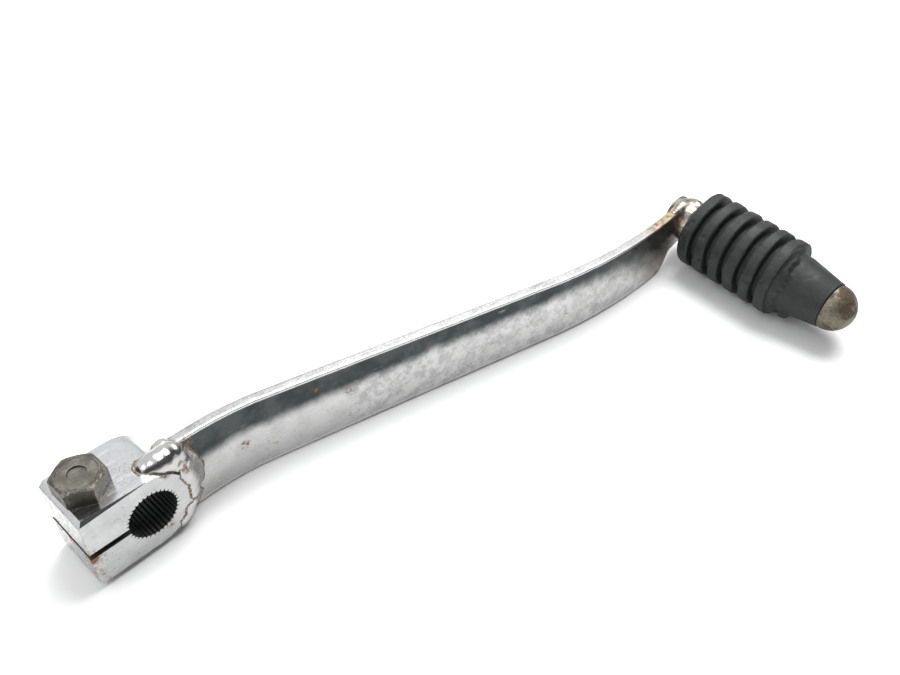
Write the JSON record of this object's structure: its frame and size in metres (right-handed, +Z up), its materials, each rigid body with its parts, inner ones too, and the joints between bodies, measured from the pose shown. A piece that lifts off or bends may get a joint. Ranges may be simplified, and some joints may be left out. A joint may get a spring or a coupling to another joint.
{
  "type": "gear shift lever",
  "caption": "Motorcycle gear shift lever: split clamp with serrated bore and pinch bolt, bent flat arm, welded peg with ribbed rubber sleeve.",
  "frame": {"origin": "on the axis of the serrated bore, at the middle of the clamp's width", "axes": "+X along the lever from the clamp towards the tip, +Y along the bore towards the engine, +Z up along the pinch bolt, out of its head"},
  "size_m": [0.1841, 0.0872, 0.0259],
  "materials": {
    "chromed_steel": "worn chrome plate with fine scratches and rust specks",
    "chromed_weld": "lumpy weld metal under worn chrome, rust at the toes",
    "worn_bolt_steel": "dull grey-brown, worn corners",
    "rusty_steel": "bare steel stained with rust",
    "black_rubber": "dull, slightly dusty"
  },
  "bodies": {
    "lever": {"clamp_boss": "chromed_steel", "arm_bar": "chromed_steel", "weld_clamp_top": "chromed_weld", "weld_clamp_outer": "chromed_weld", "weld_clamp_inner": "chromed_weld", "peg_pin": "rusty_steel", "weld_peg": "chromed_weld"},
    "bolt": {"pinch_bolt": "worn_bolt_steel"},
    "sleeve": {"peg_rubber": "black_rubber"}
  },
  "joints": [
    {"name": "bolt_turn", "type": "hinge", "parent": "lever", "child": "bolt", "pos_m": [-0.0088, 0.0003, 0.0095], "axis": [0, 0, 1], "range_deg": [0, 360]},
    {"name": "sleeve_turn", "type": "hinge", "parent": "lever", "child": "sleeve", "pos_m": [0.1605, -0.0077, 0.0015], "axis": [-0.0592, -0.9964, -0.061], "continuous": true}
  ]
}
